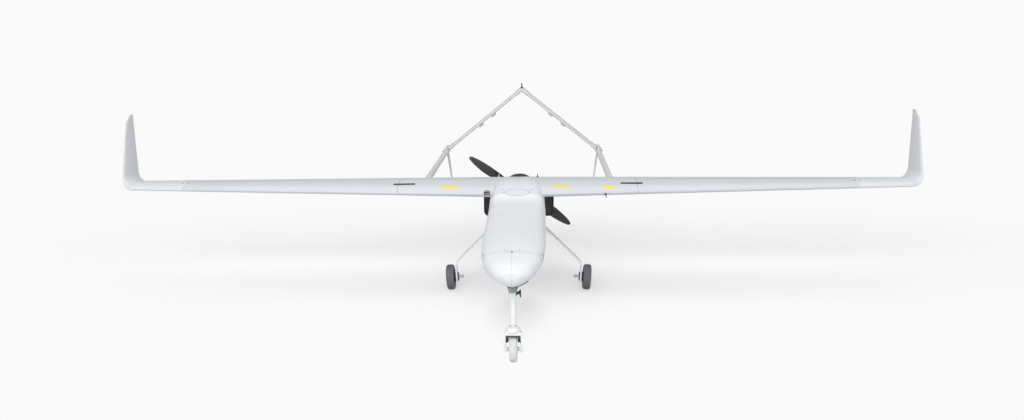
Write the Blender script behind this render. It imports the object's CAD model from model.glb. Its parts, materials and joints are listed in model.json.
"""Finishes, small fittings and a studio for a twin boom pusher drone."""

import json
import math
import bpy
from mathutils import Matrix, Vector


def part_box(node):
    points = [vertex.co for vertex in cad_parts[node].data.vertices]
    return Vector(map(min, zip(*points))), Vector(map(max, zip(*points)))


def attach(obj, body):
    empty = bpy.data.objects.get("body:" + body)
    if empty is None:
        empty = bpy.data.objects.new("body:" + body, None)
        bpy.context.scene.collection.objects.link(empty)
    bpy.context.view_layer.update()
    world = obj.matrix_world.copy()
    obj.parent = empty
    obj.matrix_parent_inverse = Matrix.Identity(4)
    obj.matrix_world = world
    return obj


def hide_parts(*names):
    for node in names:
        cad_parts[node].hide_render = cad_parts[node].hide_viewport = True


bl_info = {
    "name": "Twin Boom Drone Looks",
    "version": (1, 0, 0),
    "blender": (4, 5, 0),
    "location": "View3D > Sidebar > Drone",
    "description": "Finishes, small fittings and a studio for a twin boom drone",
    "category": "Object",
}

import bmesh
import bpy
import numpy as np
from bpy.props import FloatProperty, FloatVectorProperty, PointerProperty
from mathutils import Matrix, Vector
from mathutils.bvhtree import BVHTree

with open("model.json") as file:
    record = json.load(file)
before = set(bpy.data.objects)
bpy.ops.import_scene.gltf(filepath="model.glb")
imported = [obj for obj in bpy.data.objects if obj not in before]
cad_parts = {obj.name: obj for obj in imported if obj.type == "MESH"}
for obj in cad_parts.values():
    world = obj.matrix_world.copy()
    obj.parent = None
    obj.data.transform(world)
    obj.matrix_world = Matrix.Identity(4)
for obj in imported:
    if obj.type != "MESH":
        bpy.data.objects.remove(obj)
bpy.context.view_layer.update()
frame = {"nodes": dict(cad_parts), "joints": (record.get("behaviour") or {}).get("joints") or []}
NODES = frame["nodes"]
JOINTS = {joint["name"]: joint for joint in frame["joints"]}


# ------------------------------------------------------------------ properties
def colour_property(name, description, default):
    """A linear colour with a name, a note and a default."""
    return FloatVectorProperty(
        name=name,
        description=description,
        default=default,
        subtype="COLOR",
        size=3,
        min=0.0,
        max=1.0,
    )


def length_property(name, description, default):
    """A length in metres with a name, a note and a default."""
    return FloatProperty(
        name=name, description=description, default=default, unit="LENGTH", min=0.0
    )


def level_property(name, description, default):
    """A plain number from nothing up, with a name, a note and a default."""
    return FloatProperty(name=name, description=description, default=default, min=0.0)


def angle_property(name, description, degrees):
    """An angle with a name, a note and a default given in degrees."""
    angle = math.radians(degrees)
    return FloatProperty(name=name, description=description, default=angle, unit="ROTATION")


def power_property(name, description, default):
    """A lamp's power with a name, a note and a default."""
    return FloatProperty(name=name, description=description, default=default, unit="POWER")


class DronePaint(bpy.types.PropertyGroup):
    """Colours of the painted and moulded pieces."""

    body: colour_property("Body", "Paint of the body", (0.90, 0.92, 0.95))
    nose: colour_property("Nose", "Paint of the nose cap", (0.87, 0.89, 0.925))
    wing: colour_property("Wing", "Paint of the wing", (0.70, 0.725, 0.765))
    cover: colour_property("Cover", "Paint of the root cover and its hatch", (0.75, 0.775, 0.82))
    wingtip: colour_property("Wing tip", "Paint of the upturned tips", (0.80, 0.82, 0.855))
    seam: colour_property("Seam", "Sealed joints and hatch edges", (0.34, 0.37, 0.39))
    tail: colour_property("Tail", "Paint of the tail panels and fins", (0.79, 0.79, 0.805))
    oval: colour_property("Oval", "Plain ovals on the wing", (0.92, 0.76, 0.10))
    carbon: colour_property("Carbon", "Propeller and spar", (0.035, 0.036, 0.04))
    black: colour_property("Black", "Ducts, covers and clips", (0.018, 0.018, 0.02))


class DroneGear(bpy.types.PropertyGroup):
    """Colours and sizes of the landing gear's finish."""

    enamel: colour_property("Enamel", "Paint of the legs and the fork", (0.93, 0.94, 0.95))
    main_rubber: colour_property("Main tyres", "Rubber of the main tyres", (0.17, 0.17, 0.185))
    nose_rubber: colour_property("Nose tyre", "Rubber of the nose tyre", (0.80, 0.82, 0.83))
    collar: colour_property("Collar", "Fairing round the top of the nose strut", (0.33, 0.39, 0.39))
    bolt_radius: length_property("Bolt radius", "Radius of the gear's bolt heads", 0.005)


class DroneFittings(bpy.types.PropertyGroup):
    """Sizes of small fittings."""

    screw_radius: length_property("Screw radius", "Radius of a panel screw's head", 0.0034)
    cap_radius: length_property("Cap radius", "Radius of a cap screw's head", 0.0045)
    gasket_radius: length_property("Gasket radius", "Radius of the chin's rubber gasket", 0.0022)


class DroneStage(bpy.types.PropertyGroup):
    """Floor, light and camera."""

    floor: colour_property("Floor", "Colour of the floor and backdrop", (0.80, 0.80, 0.805))
    floor_lift: level_property("Floor lift", "Light that the camera sees the floor give off", 0.26)
    far_white: level_property("Far white", "Brightness of the backdrop far from the drone", 0.955)
    key_power: power_property("Key", "Power of the main lamp", 525.0)
    top_power: power_property("Top", "Power of the overhead lamp", 74.0)
    sky: level_property("Sky", "Strength of the even light from all round", 0.46)
    lens: FloatProperty(name="Lens", description="Focal length", default=33.14, unit="CAMERA")
    camera_place: FloatVectorProperty(
        name="Camera place",
        description="Where the camera stands",
        default=(0.111, -4.7185, 1.3961),
        subtype="TRANSLATION",
        size=3,
    )
    camera_yaw: angle_property("Yaw", "Turn from +Y towards +X", -1.753)
    camera_pitch: angle_property("Pitch", "Downward tilt", 11.957)
    camera_roll: angle_property("Roll", "Lean to the side", -0.594)


# ------------------------------------------------------------- places and sizes
# Rays that find a surface start above the drone, under it, or beside the body or the tail.
ABOVE, UNDER = 0.7, 0.2
BESIDE_BODY, BESIDE_TAIL = 0.3, 0.6
DOWN, UP, AHEAD, AFT = (0, 0, -1), (0, 0, 1), (0, -1, 0), (0, 1, 0)
SIDES = ((-1, "left"), (1, "right"))
# How deep a small fitting is let into what carries it.
SEATED = 0.001
# Half the width of a sealed joint's line.
SEAM_HALF = 0.0014
# Ovals on the wing: middle and half length along X, and the row that they share.
OVALS = ((-0.330, 0.048), (0.2115, 0.050), (0.449, 0.029))
OVAL_Y, OVAL_HALF = -0.203, 0.013
# The black pin stands on the apex fitting between these heights.
APEX_PIN = (0.926, 0.929)
# Height of the body's middle, screws behind and before the nose's seam, and their angles.
BODY_MIDDLE = 0.412
SHELL_SCREW, CAP_SCREW = 0.012, 0.016
SEAM_SCREWS = (20, 65, 115, 160, 215, 250, 290, 325)
# The chin's strip: from and to along X, and how far before the seam.
CHIN_STRIP = (-0.016, 0.064)
CHIN_BEFORE = 0.034
# Rows of screws: how far in from the node's front and back, and how many.
COVER_ROWS = (0.030, 0.16, 4)
PLATE_ROWS = (0.026, 0.026, 6)
SOCKET_ROWS = (0.022, 0.055, 3)
# The cover's screws along X, and how far in from the sides the others stand.
COVER_X = 0.070
HATCH_INSET, PLATE_INSET, PIN_INSET, MAST_INSET = 0.011, 0.028, 0.012, 0.006
# Bolts stand this far from a wing joint, in these rows.
JOINT_INSET = 0.014
TIP_ROWS = (-0.115, -0.035)
JOINT_ROWS = (-0.06, 0.03, 0.10)
BOOM_ROWS = (-0.055, 0.075)
# Heights of the tail sockets' cross bolts and pins.
SOCKET_BOLT, SOCKET_PIN = 0.538, 0.556
# Main gear: the axles' inner ends, the wheel bolts' circle, the leg bolts about the middle.
AXLE_INNER = 0.2886
WHEEL_BOLTS = 0.017
LEG_BOLTS = (0.05, 0.017)
# Nose gear: the crown's top, the dust cap's height, wall and flare, the fork's black part.
FORK_TOP = 0.137
CAP_HEIGHT, CAP_WALL, CAP_FLARE = 0.021, 0.0014, 0.015
FORK_BLACK = (0.0300, 0.0306)
# Pads beside the nose wheel: middle, then half the width and height.
PAD_PLACE = (0.0222, -1.101, 0.101)
PAD_SIZE = (0.012, 0.016)
# Engine: bolt circles of the propeller and the case, plugs along X, bands on the silencer.
PROP_BOLTS, CASE_SCREWS = 0.0185, 0.036
PLUG_X = 0.158
SILENCER_MIDDLE, BAND_X = 0.024, 0.033
# Screens in the ducts: half the width and height, and where the ducts begin along X.
DUCT_SCREEN = (0.0278, 0.0690)
SHROUD_INNER = 0.116
# Backdrop: reach of the floor, where its bend begins, the bend's radius and the wall's top.
FLOOR_REACH, BEND_START, BEND, WALL_TOP = 40.0, 12.0, 4.0, 16.0
# Where the camera sees the floor's own shadows: centre, squeeze along each
# axis, and the distances between which they fade into plain white.
SHADOWS = (
    ((0.2, 0.75, 0.0), (0.42, 1.0, 0.0), 0.4, 1.6),
    ((0.0, -0.42, 0.0), (3.2, 1.3, 0.0), 0.1, 0.75),
)
# Lamps: place, target, and size.
KEY_LAMP = ((-0.9, -9.2, 5.6), (0.1, 0.2, 0.3), (7.0, 3.6))
TOP_LAMP = ((0.0, 0.4, 4.6), (0.0, 0.2, 0.0), (6.5, 4.5))

# Profiles of turned fittings as (along, radius) pairs.
MAST_PROFILE = (
    (-0.003, 0.0), (-0.003, 0.0060), (0.0015, 0.0060), (0.0030, 0.0045), (0.0040, 0.0022),
    (0.0100, 0.0018), (0.0110, 0.0026), (0.0145, 0.0026), (0.0155, 0.0018), (0.0160, 0.0),
)
CONE_PROFILE = ((0.0, 0.0), (0.0, 0.0095), (0.004, 0.0095), (0.009, 0.0045), (0.010, 0.0))
BOOT_PROFILE = (
    (-0.002, 0.0), (-0.002, 0.0075), (0.012, 0.0075), (0.014, 0.0060),
    (0.020, 0.0060), (0.022, 0.0070), (0.026, 0.0050), (0.027, 0.0),
)
BAND_PROFILE = ((-0.005, 0.0235), (-0.005, 0.0252), (0.005, 0.0252), (0.005, 0.0235))

GROUPS = {
    "drone_paint": DronePaint,
    "drone_gear": DroneGear,
    "drone_fittings": DroneFittings,
    "drone_stage": DroneStage,
}


# -------------------------------------------------------------- surface maths
def grid_faces(rows, columns, wrap_rows=False, wrap_columns=True):
    """Quads joining a rows by columns grid of points, with either direction closed on itself."""
    row, column = np.meshgrid(
        np.arange(rows if wrap_rows else rows - 1),
        np.arange(columns if wrap_columns else columns - 1),
        indexing="ij",
    )
    row_next = (row + 1) % rows
    column_next = (column + 1) % columns
    quads = np.stack(
        [
            row * columns + column,
            row * columns + column_next,
            row_next * columns + column_next,
            row_next * columns + column,
        ],
        -1,
    )
    return quads.reshape(-1, 4)


def basis(axis):
    """Three unit vectors as columns: two across the axis, then the axis."""
    along = np.asarray(axis, float) / np.linalg.norm(axis)
    helper = np.array([0.0, 0.0, 1.0]) if abs(along[2]) < 0.9 else np.array([1.0, 0.0, 0.0])
    side = np.cross(helper, along)
    side /= np.linalg.norm(side)
    return np.stack([side, np.cross(along, side), along], -1)


def turned_points(profile, steps, closed=False):
    """A profile of (along, radius) pairs carried round the Z axis.

    Point = (radius cos a, radius sin a, along), with a from 0 to a full turn.
    A closed profile joins its last point to its first.
    """
    profile = np.asarray(profile, float)
    angle = np.linspace(0, 2 * np.pi, steps, endpoint=False)
    radius, turn = np.meshgrid(profile[:, 1], angle, indexing="ij")
    along = np.repeat(profile[:, :1], steps, axis=1)
    points = np.stack([radius * np.cos(turn), radius * np.sin(turn), along], -1)
    return points.reshape(-1, 3), grid_faces(len(profile), steps, wrap_rows=closed)


def tube_points(path, radius, steps=12):
    """A circle carried along a path, closed at both ends by shrinking to a point.

    Point = path(s) + r(s) (cos a * n(s) + sin a * b(s)), where n and b are
    square to the path's own direction.
    """
    path = np.asarray(path, float)
    along = np.gradient(path, axis=0)
    along /= np.linalg.norm(along, axis=1, keepdims=True)
    # Any direction that the path never takes.
    helper = np.array([0.31, 0.17, 0.93])
    normal = np.cross(along, helper)
    normal /= np.linalg.norm(normal, axis=1, keepdims=True)
    other = np.cross(along, normal)
    path, normal, other = (
        np.concatenate([rows[:1], rows, rows[-1:]]) for rows in (path, normal, other)
    )
    size = np.full(len(path), radius)
    size[[0, -1]] = 0.0
    angle = np.linspace(0, 2 * np.pi, steps, endpoint=False)
    cosine, sine = np.cos(angle)[None, :, None], np.sin(angle)[None, :, None]
    ring = cosine * normal[:, None] + sine * other[:, None]
    points = path[:, None] + size[:, None, None] * ring
    return points.reshape(-1, 3), grid_faces(len(path), steps)


def stamped(points, faces, places, axes, scale):
    """Copies of one shape, its Z axis turned to each given axis at each given place."""
    frames = np.stack([basis(axis) for axis in axes])
    copies = np.einsum("nij,pj->npi", frames, points * scale) + np.asarray(places)[:, None]
    offsets = np.arange(len(places))[:, None, None] * len(points)
    return copies.reshape(-1, 3), (faces[None] + offsets).reshape(-1, faces.shape[1])


def joined(shapes):
    """Several (points, faces) shapes as one."""
    offset = 0
    points, faces = [], []
    for shape_points, shape_faces in shapes:
        points.append(shape_points)
        faces.append(shape_faces + offset)
        offset += len(shape_points)
    return np.concatenate(points), np.concatenate(faces)


def rows_along(low, high, front, back, count):
    """Even rows along Y between a box's corners, set in at the front and the back."""
    return np.linspace(low[1] + front, high[1] - back, count)


def mirrored(x, rows, z):
    """The same places on both sides, at some rows along Y."""
    return [(side * x, y, z) for side in (-1, 1) for y in rows]


def add_piece(name, shape, finish, body="airframe"):
    """Put a shape in the scene with its poles merged, its faces outward and a body to ride on."""
    points, faces = shape
    material = finish.material
    mesh = bpy.data.meshes.new(name)
    mesh.from_pydata(points.tolist(), [], faces.tolist())
    work = bmesh.new()
    work.from_mesh(mesh)
    bmesh.ops.remove_doubles(work, verts=work.verts, dist=1e-6)
    bmesh.ops.recalc_face_normals(work, faces=work.faces)
    work.to_mesh(mesh)
    work.free()
    mesh.shade_smooth()
    mesh.set_sharp_from_angle(angle=math.radians(35))
    mesh.materials.append(material)
    piece = bpy.data.objects.new(name, mesh)
    bpy.context.scene.collection.objects.link(piece)
    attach(piece, body)
    return piece


def pad_shape(width, height, depth, bulge, steps=72, rings=14):
    """A flat pad across Y with rounded corners and crowned faces.

    Its outline is |x / width|^4 + |z / height|^4 = 1, drawn in towards its middle
    by a share s, and its two faces stand at depth + bulge (1 - s^2).
    """
    angle = np.linspace(0, 2 * np.pi, steps, endpoint=False)
    outline_x = width * np.sign(np.cos(angle)) * np.abs(np.cos(angle)) ** 0.5
    outline_z = height * np.sign(np.sin(angle)) * np.abs(np.sin(angle)) ** 0.5
    share = np.concatenate([np.linspace(0, 1, rings), np.linspace(1, 0, rings)])[:, None]
    face = np.repeat([-1.0, 1.0], rings)[:, None]
    across = np.broadcast_to(face * (depth + bulge * (1 - share**2)), (2 * rings, steps))
    points = np.stack([share * outline_x, across, share * outline_z], -1)
    return points.reshape(-1, 3), grid_faces(2 * rings, steps)


def ringed(rings, angle):
    """Rings of (radius, height) pairs about Z; a radius may change with the angle a.

    Point = (radius cos a, radius sin a, height).
    """
    x, y = np.cos(angle), np.sin(angle)
    points = [np.stack([x * radius, y * radius, x * 0 + height], -1) for radius, height in rings]
    return np.concatenate(points), grid_faces(len(rings), len(angle))


def hexagon(flat, angle):
    """A hexagon's radius at each angle: flat / cos(a mod 60 - 30 degrees)."""
    return flat / np.cos(np.mod(angle, np.pi / 3) - np.pi / 6)


def screw_shape(steps=24):
    """A low domed head with a hexagonal recess, of unit radius."""
    angle = np.linspace(0, 2 * np.pi, steps, endpoint=False)
    recess = hexagon(0.40, angle)
    rings = (
        (0.0, -0.5), (1.0, -0.5), (1.0, 0.10), (0.94, 0.20), (0.75, 0.30),
        (recess, 0.34), (recess * 0.98, -0.05), (0.0, -0.08),
    )
    return ringed(rings, angle)


def nut_shape(steps=24):
    """A hexagonal nut on a rounded stud, of unit radius across its corners."""
    angle = np.linspace(0, 2 * np.pi, steps, endpoint=False)
    corner = hexagon(0.866, angle)
    rings = (
        (0.0, -0.1), (corner, -0.1), (corner, 0.70), (0.84, 0.88),
        (0.55, 0.88), (0.53, 1.20), (0.35, 1.38), (0.0, 1.42),
    )
    return ringed(rings, angle)


def ring_places(centre, axis, radius, count, turn=0.0):
    """Even points on a circle about an axis: centre + r (cos a * side + sin a * other)."""
    side, other, _ = basis(axis).T
    angle = turn + np.linspace(0, 2 * np.pi, count, endpoint=False)[:, None]
    return np.asarray(centre) + radius * (np.cos(angle) * side + np.sin(angle) * other)


def turned_on(places, axis, profile, steps=24):
    """A turned profile standing at each place, its axis along a direction."""
    points, faces = turned_points(profile, steps)
    return stamped(points, faces, places, [axis] * len(places), 1.0)


def node_tree(name):
    """Search tree of a CAD node's triangles."""
    mesh = NODES[name].data
    return BVHTree.FromPolygons([v.co for v in mesh.vertices], [p.vertices for p in mesh.polygons])


def landed(tree, start, direction):
    """Where a ray meets a node, and the node's outward normal there."""
    place, normal, _, _ = tree.ray_cast(Vector(start), Vector(direction))
    if place is None:
        raise RuntimeError(f"no surface on the way from {tuple(start)}")
    if normal.dot(Vector(direction)) > 0:
        normal = -normal
    return place[:], normal[:]


def set_heads(name, node, starts, direction, radius, finish, body="airframe", shape=screw_shape):
    """Heads of one shape set square on a node's surface, found by rays from the starts."""
    directions = np.broadcast_to(np.asarray(direction, float), (len(starts), 3))
    tree = node_tree(node)
    hits = [landed(tree, start, way) for start, way in zip(starts, directions)]
    places, normals = zip(*hits)
    add_piece(name, stamped(*shape(), places, normals, radius), finish, body)


# ------------------------------------------------------------------- materials
class Nodes:
    """Short ways to add nodes to a tree and to join them."""

    def __init__(self, tree):
        self.tree = tree

    def link(self, start, end):
        """Join two sockets."""
        self.tree.links.new(start, end)

    def put(self, socket, value):
        """Set a socket to a number or colour, or link another socket to it."""
        if isinstance(value, bpy.types.NodeSocket):
            self.link(value, socket)
        else:
            socket.default_value = value

    def node(self, kind, *values, **named):
        """A node with its first inputs, or those with the given labels, set or linked."""
        made = self.tree.nodes.new(kind)
        for socket, value in zip(made.inputs, values):
            self.put(socket, value)
        for label, value in named.items():
            self.put(made.inputs[label.replace("_", " ")], value)
        return made

    def ranged(self, value, low, high, to_low, to_high):
        """Carry a value from one range to another, held at both ends."""
        made = self.node("ShaderNodeMapRange", value, low, high, to_low, to_high)
        return made.outputs["Result"]

    def math(self, operation, first, second=0.0):
        """One arithmetic step on two values."""
        made = self.node("ShaderNodeMath", first, second)
        made.operation = operation
        return made.outputs["Value"]

    def vector(self, operation, output, first, second=(0.0, 0.0, 0.0)):
        """One arithmetic step on two vectors."""
        made = self.node("ShaderNodeVectorMath", first, second)
        made.operation = operation
        return made.outputs[output]


class Finish(Nodes):
    """A material with a principled shader and short ways to shape its look."""

    def __init__(self, name, colour, roughness, metallic=0.0):
        self.material = bpy.data.materials.new(name)
        self.material.use_nodes = True
        super().__init__(self.material.node_tree)
        self.tree.nodes.clear()
        output = self.node("ShaderNodeOutputMaterial")
        self.colour = tuple(colour)
        self.shader = self.node(
            "ShaderNodeBsdfPrincipled",
            Base_Color=(*self.colour, 1.0),
            Roughness=roughness,
            Metallic=metallic,
        )
        self.link(self.shader.outputs["BSDF"], output.inputs["Surface"])
        self.material.diffuse_color = (*self.colour, 1.0)
        self.coordinates = self.node("ShaderNodeTexCoord")

    def stretched(self, scale):
        """Object coordinates stretched by a factor along each axis."""
        place = self.coordinates.outputs["Object"]
        return self.node("ShaderNodeMapping", Vector=place, Scale=scale).outputs["Vector"]

    def noise(self, scale, detail=3.0, rough=0.5, vector=None):
        """Noise over Object coordinates."""
        place = vector or self.coordinates.outputs["Object"]
        made = self.node(
            "ShaderNodeTexNoise", Vector=place, Scale=scale, Detail=detail, Roughness=rough
        )
        return made.outputs["Fac"]

    def mixed(self, factor, first, second):
        """Mix of two colours."""
        made = self.tree.nodes.new("ShaderNodeMix")
        made.data_type = "RGBA"
        self.put(made.inputs["Factor"], factor)
        # Inputs 6 and 7 and output 2 are this node's colour sockets.
        for socket, value in ((made.inputs[6], first), (made.inputs[7], second)):
            self.put(socket, (*value, 1.0) if isinstance(value, tuple) else value)
        return made.outputs[2]

    def shade(self, amount):
        """The finish's own colour, darker by a share."""
        return tuple(channel * (1 - amount) for channel in self.colour)

    def bump(self, height, distance, strength=1.0, normal=None):
        """Bump from a height."""
        made = self.node("ShaderNodeBump", Height=height, Distance=distance, Strength=strength)
        if normal:
            self.link(normal, made.inputs["Normal"])
        return made.outputs["Normal"]

    def base(self, colour):
        """Send a colour to the shader."""
        self.link(colour, self.shader.inputs["Base Color"])

    def over(self, mask, colour):
        """Lay a colour over the one that the shader has, where a mask is 1."""
        coat = self.shader.inputs["Base Color"].links[0].from_socket
        self.base(self.mixed(mask, coat, tuple(colour)))

    def rough(self, value):
        """Send a roughness to the shader."""
        self.link(value, self.shader.inputs["Roughness"])

    def normal(self, value):
        """Send a normal to the shader."""
        self.link(value, self.shader.inputs["Normal"])

    def split(self, source="Object"):
        """Object coordinates, or the surface's own Normal, as three values."""
        made = self.node("ShaderNodeSeparateXYZ", Vector=self.coordinates.outputs[source])
        return made.outputs["X"], made.outputs["Y"], made.outputs["Z"]


def paint(name, colour, roughness=0.34):
    """Sprayed paint on a composite skin: faint mottling, orange peel and slow waves."""
    finish = Finish(name, colour, roughness)
    mottle = finish.ranged(finish.noise(2.2, 5.0, 0.55), 0.35, 0.65, 0.0, 1.0)
    grime = finish.ranged(finish.noise(34.0, 6.0, 0.65), 0.55, 0.80, 0.0, 0.35)
    finish.base(finish.mixed(mottle, finish.shade(0.035), finish.colour))
    finish.over(grime, finish.shade(0.08))
    gloss = finish.noise(18.0, 4.0)
    finish.rough(finish.ranged(gloss, 0.3, 0.7, roughness - 0.05, roughness + 0.08))
    peel = finish.bump(finish.noise(520.0, 2.0), 0.00006, 0.5)
    finish.normal(finish.bump(finish.noise(6.0, 2.0), 0.0006, 0.25, peel))
    finish.shader.inputs["Coat Weight"].default_value = 0.25
    finish.shader.inputs["Coat Roughness"].default_value = 0.18
    return finish


def oval_mask(finish, centre, half_length, half_width):
    """1 inside an upward-facing oval: (x - cx)^2 / a^2 + (y - cy)^2 / b^2 < 1."""
    x, y, _ = finish.split()
    across = finish.math("DIVIDE", finish.math("SUBTRACT", x, centre[0]), half_length)
    along = finish.math("DIVIDE", finish.math("SUBTRACT", y, centre[1]), half_width)
    squares = [finish.math("POWER", value, 2.0) for value in (across, along)]
    reach = finish.math("ADD", *squares)
    inside = finish.ranged(reach, 0.96, 1.0, 1.0, 0.0)
    upward = finish.ranged(finish.split("Normal")[2], 0.05, 0.15, 0.0, 1.0)
    return finish.math("MULTIPLY", inside, upward)


def moulded(name, colour, roughness=0.45, grain=900.0):
    """Moulded plastic: fine grain and faint scuffs."""
    finish = Finish(name, colour, roughness)
    streaks = finish.noise(60.0, 8.0, 0.7, finish.stretched((1.0, 0.2, 1.0)))
    scuffs = finish.ranged(streaks, 0.56, 0.72, 0.0, 0.5)
    lighter = tuple(min(1.0, channel * 1.6 + 0.01) for channel in colour)
    finish.base(finish.mixed(scuffs, finish.colour, lighter))
    gloss = finish.noise(30.0, 4.0)
    finish.rough(finish.ranged(gloss, 0.3, 0.7, roughness - 0.08, roughness + 0.12))
    finish.normal(finish.bump(finish.noise(grain, 2.0), 0.00008, 0.6))
    return finish


def carbon(name, colour):
    """Gloss carbon: a twill of two crossed bands under a clear coat."""
    finish = Finish(name, colour, 0.38)
    bands = []
    for scale in ((1.0, 1.0, 1.0), (-1.0, 1.0, 1.0)):
        place = finish.stretched(scale)
        wave = finish.node("ShaderNodeTexWave", Vector=place, Scale=160.0, Distortion=0.0)
        wave.wave_type = "BANDS"
        wave.bands_direction = "DIAGONAL"
        bands.append(wave.outputs["Fac"])
    twill = finish.math("MULTIPLY", bands[0], bands[1])
    weave = finish.ranged(twill, 0.1, 0.6, 0.0, 1.0)
    finish.base(finish.mixed(weave, finish.shade(0.35), finish.shade(-0.5)))
    finish.normal(finish.bump(twill, 0.00005, 0.4))
    finish.rough(finish.ranged(finish.noise(20.0, 4.0), 0.3, 0.7, 0.30, 0.44))
    finish.shader.inputs["Coat Weight"].default_value = 0.6
    finish.shader.inputs["Coat Roughness"].default_value = 0.12
    return finish


def rubber(name, colour):
    """Tyre rubber: matt, dusty in the hollows, with fine pores."""
    finish = Finish(name, colour, 0.78)
    dust = finish.ranged(finish.noise(45.0, 7.0, 0.7), 0.48, 0.72, 0.0, 0.6)
    dusty = tuple(channel * 0.75 + 0.09 for channel in colour)
    finish.base(finish.mixed(dust, finish.colour, dusty))
    finish.rough(finish.ranged(finish.noise(80.0, 4.0), 0.3, 0.7, 0.68, 0.90))
    finish.normal(finish.bump(finish.noise(1100.0, 3.0), 0.00012, 0.7))
    return finish


def metal(name, colour, roughness, grain=(1.0, 60.0, 1.0)):
    """Machined metal: fine tool marks along one direction and dull patches."""
    finish = Finish(name, colour, roughness, 1.0)
    marks = finish.noise(260.0, 3.0, 0.6, finish.stretched(grain))
    patches = finish.ranged(finish.noise(24.0, 6.0, 0.6), 0.45, 0.75, 0.0, 0.5)
    finish.base(finish.mixed(patches, finish.colour, finish.shade(0.25)))
    finish.rough(finish.ranged(marks, 0.3, 0.7, roughness - 0.08, roughness + 0.12))
    finish.normal(finish.bump(marks, 0.00004, 0.5))
    return finish


def sealed(finish, distance, half_width, colour, strength=0.7):
    """Draw a thin sealed joint where a distance is close to nothing."""
    away = finish.math("ABSOLUTE", distance)
    finish.over(finish.ranged(away, half_width * 0.6, half_width, strength, 0.0), colour)


def dress(finish, *names):
    """Give CAD nodes one finish."""
    for name in names:
        mesh = NODES[name].data
        mesh.materials.clear()
        mesh.materials.append(finish.material)


def pairs(*names):
    """The left and the right node of each name."""
    return [f"{name}_{word}" for name in names for _, word in SIDES]


def scene_part(name):
    """One of the add-on's property groups."""
    return getattr(bpy.context.scene, name)


# ------------------------------------------------------------------- operators
class DRONE_OT_paint_airframe(bpy.types.Operator):
    """Paint the body, the wing, the tips and the tail"""

    bl_idname = "drone.paint_airframe"
    bl_label = "Paint Airframe"

    def execute(self, context):
        colours = scene_part("drone_paint")
        seam = colours.seam
        dress(paint("skin_paint", colours.wing), *pairs("wing_outer", "aileron", "flap"))
        dress(paint("cover_paint", colours.cover), "wing_root_cover")
        seam_y = float(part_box("nose_cap")[1][1])
        shell = paint("body_paint", colours.body)
        _, y, _ = shell.split()
        sealed(shell, shell.math("SUBTRACT", y, seam_y), SEAM_HALF, seam)
        dress(shell, "fuselage_shell")
        nose = paint("nose_paint", colours.nose)
        x, y, _ = nose.split()
        sealed(nose, nose.math("SUBTRACT", y, seam_y), SEAM_HALF, seam)
        # The two halves of the cap meet on the centreline.
        sealed(nose, x, SEAM_HALF * 0.6, seam, 0.5)
        dress(nose, "nose_cap")
        hatch = paint("hatch_paint", colours.cover)
        x, y, _ = hatch.split()
        # The hatch's outline is two arcs that meet at its ends.
        low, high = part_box("lens_hatch")
        half, rise = (high[0] - low[0]) / 2, (high[1] - low[1]) / 2
        radius = (half**2 + rise**2) / (2 * rise)
        for centre in (low[1] + radius, high[1] - radius):
            across = hatch.math("POWER", x, 2.0)
            along = hatch.math("POWER", hatch.math("SUBTRACT", y, centre), 2.0)
            reach = hatch.math("SQRT", hatch.math("ADD", across, along))
            sealed(hatch, hatch.math("SUBTRACT", reach, radius), SEAM_HALF * 2.2, seam, 0.8)
        dress(hatch, "lens_hatch")
        wing = paint("wing_paint", colours.wing)
        for centre, half_length in OVALS:
            wing.over(oval_mask(wing, (centre, OVAL_Y), half_length, OVAL_HALF), colours.oval)
        dress(wing, "wing_center_panel")
        dress(paint("tip_paint", colours.wingtip), *pairs("wingtip"))
        tail = paint("tail_paint", colours.tail)
        dress(tail, *pairs("tail_panel", "ruddervator", "tail_boom"))
        dress(tail, "ventral_fins", "tail_sockets", "control_servos")
        apex = paint("apex_paint", colours.tail)
        apex.over(apex.ranged(apex.split()[2], *APEX_PIN, 0.0, 1.0), colours.black)
        dress(apex, "apex_fitting")
        black = moulded("black_moulding", colours.black)
        dress(black, "panel_latches", "nose_vents", "air_data_probe")
        self.masts(colours.black)
        dress(moulded("scoop_moulding", (0.27, 0.245, 0.22)), "root_scoop")
        return {"FINISHED"}

    def masts(self, black):
        """Two short whip aerials: a rubber foot, a thin rod and a round tip, turned about Z."""
        low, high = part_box("antenna_masts")
        reach = (high[0] - low[0]) / 2 - MAST_INSET
        tree = node_tree("wing_center_panel")
        for (side, word), colour in zip(SIDES, ((0.70, 0.70, 0.70), black)):
            place, _ = landed(tree, (side * reach, 0.0, ABOVE), DOWN)
            name = f"mast_{word}"
            mast = turned_on([place], UP, MAST_PROFILE)
            piece = add_piece(name, mast, moulded(name, colour))
            if side > 0:
                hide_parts("antenna_masts")


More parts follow.
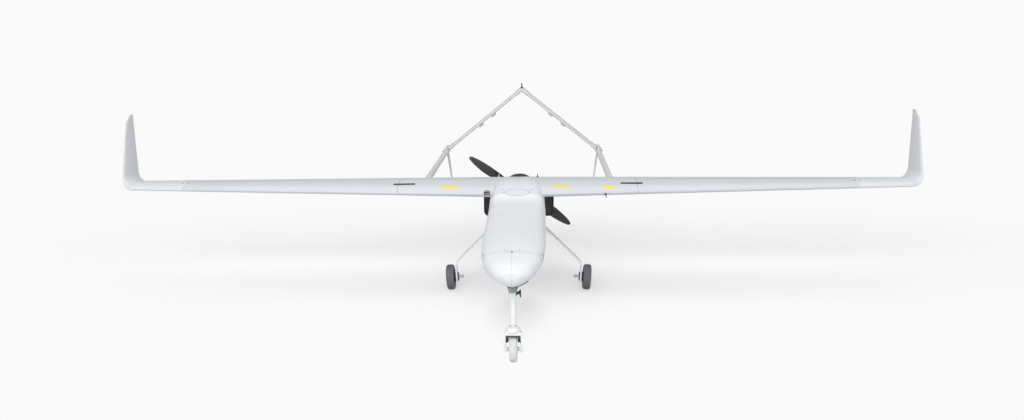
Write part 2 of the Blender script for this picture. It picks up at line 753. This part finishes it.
class DRONE_OT_finish_gear(bpy.types.Operator):
    """Finish the legs, the fork, the wheels and the tyres"""

    bl_idname = "drone.finish_gear"
    bl_label = "Finish Landing Gear"

    def execute(self, context):
        gear = scene_part("drone_gear")
        enamel = paint("gear_enamel", gear.enamel, 0.38)
        dress(enamel, "main_gear_leg", "nose_strut", "gear_saddle", "nose_axle")
        # The fork's arms are black round the pads beside the wheel.
        fork = paint("fork_enamel", gear.enamel, 0.38)
        x, _, z = fork.split()
        inside = fork.ranged(fork.math("ABSOLUTE", x), *FORK_BLACK, 1.0, 0.0)
        offset = fork.math("ABSOLUTE", fork.math("SUBTRACT", z, PAD_PLACE[2]))
        beside = fork.ranged(offset, PAD_SIZE[1], PAD_SIZE[1] + 0.0006, 1.0, 0.0)
        fork.over(fork.math("MULTIPLY", inside, beside), (0.05, 0.055, 0.055))
        dress(fork, "nose_fork")
        dress(paint("collar_paint", gear.collar, 0.5), "nose_collar")
        dress(rubber("main_tyre_rubber", gear.main_rubber), *pairs("main_tyre"))
        dress(rubber("nose_tyre_rubber", gear.nose_rubber), "nose_tyre")
        rim = metal("rim_alloy", (0.34, 0.35, 0.36), 0.40)
        dress(rim, *pairs("main_rim"), "nose_rim")
        steel = metal("axle_steel", (0.62, 0.62, 0.63), 0.30)
        dress(steel, "main_axles")
        plate = moulded("plate_black", (0.02, 0.02, 0.022), 0.5)
        dress(plate, "brake_plates")
        # A white clamp ring with a black bracket on its right.
        arm = paint("arm_enamel", gear.enamel, 0.4)
        arm.over(arm.ranged(arm.split()[0], 0.0125, 0.0135, 0.0, 1.0), (0.02, 0.02, 0.022))
        dress(arm, "steering_arm")
        return {"FINISHED"}


class DRONE_OT_finish_engine(bpy.types.Operator):
    """Finish the engine, its ducts and the propeller"""

    bl_idname = "drone.finish_engine"
    bl_label = "Finish Engine"

    def execute(self, context):
        colours = scene_part("drone_paint")
        cast = metal("cast_alloy", (0.13, 0.13, 0.135), 0.55, (1.0, 1.0, 1.0))
        dress(cast, "crankcase", "cylinders")
        turned = metal("turned_alloy", (0.68, 0.69, 0.70), 0.32)
        dress(turned, "engine_mounts", "prop_shaft", "payload_plate")
        pipe = metal("exhaust_steel", (0.46, 0.42, 0.37), 0.42, (1.0, 1.0, 1.0))
        dress(pipe, "exhaust_silencer")
        duct = moulded("duct_black", (0.022, 0.023, 0.025), 0.42)
        dress(duct, "cooling_shrouds", "intake_filter")
        dress(carbon("blade_carbon", colours.carbon), "propeller", "wing_spar")
        return {"FINISHED"}


class DRONE_OT_finish_inside(bpy.types.Operator):
    """Finish the frames, the tray and what it carries"""

    bl_idname = "drone.finish_inside"
    bl_label = "Finish Inside"

    def execute(self, context):
        laminate = moulded("laminate", (0.06, 0.06, 0.062), 0.5, 300.0)
        dress(laminate, "avionics_tray", "body_frames", "firewall")
        dress(moulded("pack_wrap", (0.05, 0.09, 0.16), 0.4), "battery_pack")
        dress(moulded("box_black", (0.03, 0.03, 0.032), 0.5), "autopilot_box")
        dress(moulded("tank_plastic", (0.62, 0.60, 0.54), 0.4), "fuel_tank")
        dress(metal("mount_alloy", (0.66, 0.67, 0.68), 0.4), "nose_gear_mount")
        return {"FINISHED"}


class DRONE_OT_fit_airframe(bpy.types.Operator):
    """Set the screws, pins and gasket of the body, wing and tail"""

    bl_idname = "drone.fit_airframe"
    bl_label = "Fit Airframe"

    def execute(self, context):
        sizes = scene_part("drone_fittings")
        screw, cap = sizes.screw_radius, sizes.cap_radius
        steel = metal("screw_steel", (0.50, 0.51, 0.52), 0.34)
        black = metal("screw_black", (0.06, 0.06, 0.065), 0.42)
        seam_y = float(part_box("nose_cap")[1][1])
        # Screws in a ring round the body, behind the nose's seam.
        around = np.radians(SEAM_SCREWS)
        rays = np.stack([np.cos(around), np.zeros(len(around)), np.sin(around)], -1)
        starts = np.array([0.0, seam_y + SHELL_SCREW, BODY_MIDDLE]) + rays * BESIDE_BODY
        set_heads("seam_screws", "fuselage_shell", starts, -rays, screw, steel)
        starts = [(0.0, seam_y - CAP_SCREW, ABOVE)]
        set_heads("nose_screw", "nose_cap", starts, DOWN, cap, black)
        # Root cover, lens hatch and payload plate.
        low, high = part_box("wing_root_cover")
        starts = mirrored(COVER_X, rows_along(low, high, *COVER_ROWS), ABOVE)
        set_heads("cover_screws", "wing_root_cover", starts, DOWN, screw, steel)
        low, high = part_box("lens_hatch")
        starts = mirrored(high[0] - HATCH_INSET, [(low[1] + high[1]) / 2], ABOVE)
        set_heads("hatch_screws", "lens_hatch", starts, DOWN, screw * 0.8, steel)
        low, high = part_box("payload_plate")
        starts = mirrored(high[0] - PLATE_INSET, rows_along(low, high, *PLATE_ROWS), UNDER)
        set_heads("plate_screws", "payload_plate", starts, UP, screw, steel)
        # Joint bolts on both sides of each wing tip's seam, and along the wing's joints.
        joint = float(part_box("wing_outer_right")[1][0])
        for node, offset in (("wing_outer", -JOINT_INSET), ("wingtip", JOINT_INSET)):
            for side, word in SIDES:
                starts = [(side * (joint + offset), y, ABOVE) for y in TIP_ROWS]
                name = f"{node}_bolts_{word}"
                set_heads(name, f"{node}_{word}", starts, DOWN, screw, black)
        joint = float(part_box("wing_center_panel")[1][0])
        starts = mirrored(joint - JOINT_INSET, JOINT_ROWS, ABOVE)
        set_heads("wing_joint_screws", "wing_center_panel", starts, DOWN, screw, steel)
        # Clamp bolts over the booms, and cross bolts through the tail's sockets.
        low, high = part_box("tail_boom_right")
        boom = float(low[0] + high[0]) / 2
        starts = mirrored(boom, BOOM_ROWS, ABOVE)
        set_heads("boom_bolts", "wing_center_panel", starts, DOWN, cap, steel)
        node = "tail_sockets"
        low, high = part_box("tail_sockets")
        rows = rows_along(low, high, *SOCKET_ROWS)
        for side, word in SIDES:
            starts = [(side * BESIDE_TAIL, y, SOCKET_BOLT) for y in rows]
            name = f"socket_bolts_{word}"
            set_heads(name, node, starts, (-side, 0, 0), cap, black, shape=nut_shape)
        starts = mirrored(boom - PIN_INSET, [low[1] - 0.1], SOCKET_PIN)
        set_heads("socket_pins", node, starts, AFT, cap * 1.2, black)
        self.chin_strip(sizes.gasket_radius, seam_y)
        return {"FINISHED"}

    def chin_strip(self, radius, seam_y):
        """A rubber strip along the chin, a tube whose path follows the cap's underside."""
        tree = node_tree("nose_cap")
        starts = [(x, seam_y - CHIN_BEFORE, UNDER) for x in np.linspace(*CHIN_STRIP, 22)]
        places = [landed(tree, start, UP)[0] for start in starts]
        path = np.array(places) + np.array([0.0, 0.0, -0.3 * radius])
        gasket = rubber("gasket_rubber", (0.03, 0.035, 0.035))
        add_piece("chin_strip", tube_points(path, radius), gasket)


class DRONE_OT_fit_gear(bpy.types.Operator):
    """Set the bolts and nuts of the landing gear"""

    bl_idname = "drone.fit_gear"
    bl_label = "Fit Landing Gear"

    def execute(self, context):
        gear = scene_part("drone_gear")
        bolt = gear.bolt_radius
        steel = metal("bolt_steel", (0.55, 0.56, 0.57), 0.32)
        cone = metal("cone_alloy", (0.72, 0.72, 0.72), 0.38)
        for side, word in SIDES:
            joint = JOINTS[f"main_wheel_{word}_spin"]
            centre = np.array(joint["pos_m"])
            outward = np.array(joint["axis"]) * side
            rim = f"main_rim_{word}"
            starts = ring_places(centre + outward * 0.06, outward, WHEEL_BOLTS, 5)
            name, wheel = f"wheel_bolts_{word}", f"main_wheel_{word}"
            set_heads(name, rim, starts, -outward, bolt * 0.7, steel, wheel)
            # A cone nut on the inner end of the axle.
            reach = (abs(centre[0]) - AXLE_INNER) / abs(outward[0])
            place = centre - outward * (reach - SEATED)
            add_piece(f"cone_nut_{word}", turned_on([place], -outward, CONE_PROFILE), cone)
        low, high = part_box("gear_saddle")
        middle, (bolt_x, bolt_y) = (low[1] + high[1]) / 2, LEG_BOLTS
        starts = mirrored(bolt_x, (middle - bolt_y, middle + bolt_y), UNDER)
        set_heads("leg_bolts", "main_gear_leg", starts, UP, bolt * 1.2, steel, shape=nut_shape)
        low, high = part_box("nose_axle")
        places = mirrored(high[0] - SEATED / 2, [(low[1] + high[1]) / 2], (low[2] + high[2]) / 2)
        nuts = stamped(*nut_shape(), places, [(-1, 0, 0), (1, 0, 0)], bolt * 0.7)
        enamel = paint("sleeve_enamel", gear.enamel, 0.4)
        add_piece("fork_nuts", nuts, enamel, "nose_fork_group")
        self.sleeve(enamel)
        self.pads()
        return {"FINISHED"}

    def sleeve(self, enamel):
        """A domed dust cap on the fork's crown that slides outside the strut.

        Its profile is a quarter ellipse, r = neck + w sqrt(1 - s^2), and its wall
        closes over the top and down the inside.
        """
        low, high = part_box("nose_strut")
        inner = (high[0] - low[0]) / 2 + 0.0005
        share = np.sin(np.linspace(0, np.pi / 2, 12))
        flare = CAP_WALL + CAP_FLARE * (1 - share**2) ** 0.5
        along = FORK_TOP - 6 * SEATED + CAP_HEIGHT * share
        outside = np.stack([along, inner + flare], -1)
        inside = np.stack([along[::-1], np.full(len(along), inner)], -1)
        points, faces = turned_points(np.concatenate([outside, inside]), 40, closed=True)
        points = points + np.array([0.0, (low[1] + high[1]) / 2, 0.0])
        add_piece("strut_sleeve", (points, faces), enamel, "nose_fork_group")

    def pads(self):
        """Two black pads inside the fork's arms, beside the upper part of the nose wheel."""
        points, faces = pad_shape(*PAD_SIZE, 0.0035, 0.0005)
        upright = points[:, [1, 0, 2]]
        pads = [(upright + np.array(PAD_PLACE) * (side, 1, 1), faces) for side in (-1, 1)]
        black = moulded("pad_black", (0.03, 0.03, 0.032))
        add_piece("fork_pads", joined(pads), black, "nose_fork_group")


class DRONE_OT_fit_engine(bpy.types.Operator):
    """Set the bolts, plug boots and bands of the engine"""

    bl_idname = "drone.fit_engine"
    bl_label = "Fit Engine"

    def execute(self, context):
        cap = scene_part("drone_fittings").cap_radius
        steel = metal("engine_screw", (0.55, 0.56, 0.57), 0.34)
        boots = moulded("boot_rubber", (0.02, 0.02, 0.02), 0.6)
        joint = JOINTS["propeller_spin"]
        centre = np.array(joint["pos_m"])
        behind = centre + np.array([0.0, 0.1, 0.0])
        starts = ring_places(behind, AFT, PROP_BOLTS, 6)
        set_heads("prop_bolts", "prop_shaft", starts, AHEAD, cap, steel, "propeller_group")
        starts = ring_places(behind, AFT, CASE_SCREWS, 8, np.pi / 8)
        set_heads("case_screws", "crankcase", starts, AHEAD, cap * 0.8, steel)
        low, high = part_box("cylinders")
        middle = (low[1] + high[1]) / 2
        places = mirrored(PLUG_X, [middle], high[2] - 2 * SEATED)
        add_piece("plug_boots", turned_on(places, UP, BOOT_PROFILE), boots)
        low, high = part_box("exhaust_silencer")
        points, faces = turned_points(BAND_PROFILE, 48, closed=True)
        places = mirrored(BAND_X, [middle], low[2] + SILENCER_MIDDLE)
        bands = stamped(points, faces, places, [(1, 0, 0)] * len(places), 1.0)
        add_piece("silencer_bands", bands, steel)
        self.screens()
        return {"FINISHED"}

    def screens(self):
        """A foam screen in the mouth of each cooling duct."""
        low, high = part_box("cooling_shrouds")
        points, faces = pad_shape(*DUCT_SCREEN, 0.004, 0.002)
        middle_x, middle_z = (high[0] + SHROUD_INNER) / 2, (low[2] + high[2]) / 2
        places = mirrored(middle_x, [low[1] + 0.016], middle_z)
        screens = joined([(points + np.array(place), faces) for place in places])
        foam = rubber("screen_foam", (0.065, 0.065, 0.068))
        add_piece("duct_screens", screens, foam)


class DRONE_OT_build_stage(bpy.types.Operator):
    """Lay the floor and backdrop, hang the lamps and set up the camera"""

    bl_idname = "drone.build_stage"
    bl_label = "Build Stage"

    def execute(self, context):
        stage = scene_part("drone_stage")
        scene = context.scene
        scene.view_settings.view_transform = "Standard"
        self.backdrop(stage)
        self.lamp("key_lamp", *KEY_LAMP, stage.key_power)
        self.lamp("top_lamp", *TOP_LAMP, stage.top_power)
        self.sky(scene, stage)
        self.camera(scene, stage)
        return {"FINISHED"}

    def backdrop(self, stage):
        """A flat floor that curves up into a wall: a quarter circle joins the two straight runs."""
        angle = np.linspace(0, np.pi / 2, 24)
        curve = np.stack([BEND_START + BEND * np.sin(angle), BEND - BEND * np.cos(angle)], -1)
        run = np.concatenate([[[-FLOOR_REACH, 0.0]], curve, [[BEND_START + BEND, WALL_TOP]]])
        across = np.linspace(-FLOOR_REACH, FLOOR_REACH, 3)
        size = len(run), len(across)
        columns = [np.broadcast_to(part, size) for part in (across, run[:, :1], run[:, 1:])]
        points = np.stack(columns, -1).reshape(-1, 3)
        mesh = bpy.data.meshes.new("backdrop")
        mesh.from_pydata(points.tolist(), [], grid_faces(*size, wrap_columns=False).tolist())
        mesh.shade_smooth()
        mesh.materials.append(self.backdrop_material(stage))
        floor = bpy.data.objects.new("backdrop", mesh)
        bpy.context.scene.collection.objects.link(floor)
        return floor

    def backdrop_material(self, stage):
        """A pale matt floor, which the camera sees a little lifted."""
        material = bpy.data.materials.new("backdrop")
        material.use_nodes = True
        nodes = Nodes(material.node_tree)
        nodes.tree.nodes.clear()
        output = nodes.node("ShaderNodeOutputMaterial")
        seen = nodes.node("ShaderNodeLightPath").outputs["Is Camera Ray"]
        diffuse = nodes.node("ShaderNodeBsdfDiffuse", Color=(*stage.floor, 1.0))
        lift = nodes.math("MULTIPLY", seen, stage.floor_lift)
        glow = nodes.node("ShaderNodeEmission", Color=(1.0, 1.0, 1.0, 1.0), Strength=lift)
        near = nodes.node("ShaderNodeAddShader", diffuse.outputs["BSDF"], glow.outputs["Emission"])
        # Far from the drone the camera sees the backdrop as plain white.
        far = nodes.node("ShaderNodeEmission", Strength=stage.far_white)
        place = nodes.node("ShaderNodeTexCoord").outputs["Object"]
        fades = []
        for centre, shape, start, end in SHADOWS:
            shifted = nodes.vector("SUBTRACT", "Vector", place, centre)
            narrowed = nodes.vector("MULTIPLY", "Vector", shifted, shape)
            distance = nodes.vector("LENGTH", "Value", narrowed)
            fade = nodes.node("ShaderNodeMapRange", distance, start, end)
            fade.interpolation_type = "SMOOTHSTEP"
            fades.append(fade.outputs["Result"])
        share = nodes.math("MULTIPLY", nodes.math("MINIMUM", *fades), seen)
        shaders = near.outputs["Shader"], far.outputs["Emission"]
        blend = nodes.node("ShaderNodeMixShader", share, *shaders)
        # From below the floor is clear, so the underside can be seen.
        behind = nodes.node("ShaderNodeNewGeometry").outputs["Backfacing"]
        clear = nodes.node("ShaderNodeBsdfTransparent")
        shaders = blend.outputs["Shader"], clear.outputs["BSDF"]
        faced = nodes.node("ShaderNodeMixShader", behind, *shaders)
        nodes.link(faced.outputs["Shader"], output.inputs["Surface"])
        return material

    def lamp(self, name, place, target, size, power):
        """A soft rectangular lamp aimed at a target."""
        light = bpy.data.lights.new(name, "AREA")
        light.shape = "RECTANGLE"
        light.size, light.size_y = size
        light.energy = power
        lamp = bpy.data.objects.new(name, light)
        lamp.location = place
        aim = Vector(target) - Vector(place)
        lamp.rotation_euler = aim.to_track_quat("-Z", "Y").to_euler()
        bpy.context.scene.collection.objects.link(lamp)

    def sky(self, scene, stage):
        """Even light from all round, which the camera sees as plain white."""
        world = bpy.data.worlds.new("studio")
        world.use_nodes = True
        nodes = Nodes(world.node_tree)
        background = nodes.tree.nodes["Background"]
        background.inputs["Color"].default_value = (1.0, 1.0, 1.0, 1.0)
        seen = nodes.node("ShaderNodeLightPath").outputs["Is Camera Ray"]
        level = nodes.ranged(seen, 0.0, 1.0, stage.sky, stage.far_white)
        nodes.link(level, background.inputs["Strength"])
        scene.world = world

    def camera(self, scene, stage):
        """Turn by yaw, then pitch, then roll."""
        yaw, pitch, roll = stage.camera_yaw, stage.camera_pitch, stage.camera_roll
        level = math.cos(pitch)
        forward = Vector((math.sin(yaw) * level, math.cos(yaw) * level, -math.sin(pitch)))
        right = Vector((math.cos(yaw), -math.sin(yaw), 0.0))
        up = right.cross(forward)
        right, up = (
            right * math.cos(roll) + up * math.sin(roll),
            up * math.cos(roll) - right * math.sin(roll),
        )
        data = bpy.data.cameras.new("camera")
        data.lens = stage.lens
        data.sensor_width = 36.0
        data.sensor_fit = "HORIZONTAL"
        data.clip_end = 100.0
        camera = bpy.data.objects.new("camera", data)
        turn = Matrix((right, up, -forward)).transposed().to_4x4()
        camera.matrix_world = Matrix.Translation(Vector(stage.camera_place)) @ turn
        scene.collection.objects.link(camera)
        scene.camera = camera


OPERATORS = (
    DRONE_OT_paint_airframe,
    DRONE_OT_finish_gear,
    DRONE_OT_finish_engine,
    DRONE_OT_finish_inside,
    DRONE_OT_fit_airframe,
    DRONE_OT_fit_gear,
    DRONE_OT_fit_engine,
    DRONE_OT_build_stage,
)


class DRONE_PT_sidebar(bpy.types.Panel):
    """Lists the drone's settings and its operators"""

    bl_idname = "DRONE_PT_sidebar"
    bl_label = "Drone"
    bl_space_type = "VIEW_3D"
    bl_region_type = "UI"
    bl_category = "Drone"

    def draw(self, context):
        for name, group in GROUPS.items():
            box = self.layout.box()
            for field in group.__annotations__:
                box.prop(getattr(context.scene, name), field)
        for operator in OPERATORS:
            self.layout.operator(operator.bl_idname)


CLASSES = (*GROUPS.values(), *OPERATORS, DRONE_PT_sidebar)


def register():
    """Register every class and hang the property groups on the scene."""
    for item in CLASSES:
        bpy.utils.register_class(item)
    for name, group in GROUPS.items():
        setattr(bpy.types.Scene, name, PointerProperty(type=group))


def unregister():
    """Undo register."""
    for name in GROUPS:
        delattr(bpy.types.Scene, name)
    for item in reversed(CLASSES):
        bpy.utils.unregister_class(item)


def main():
    """Build the looks in order."""
    register()
    for operator in OPERATORS:
        group, name = operator.bl_idname.split(".")
        getattr(getattr(bpy.ops, group), name)()


if __name__ == "__main__":
    main()
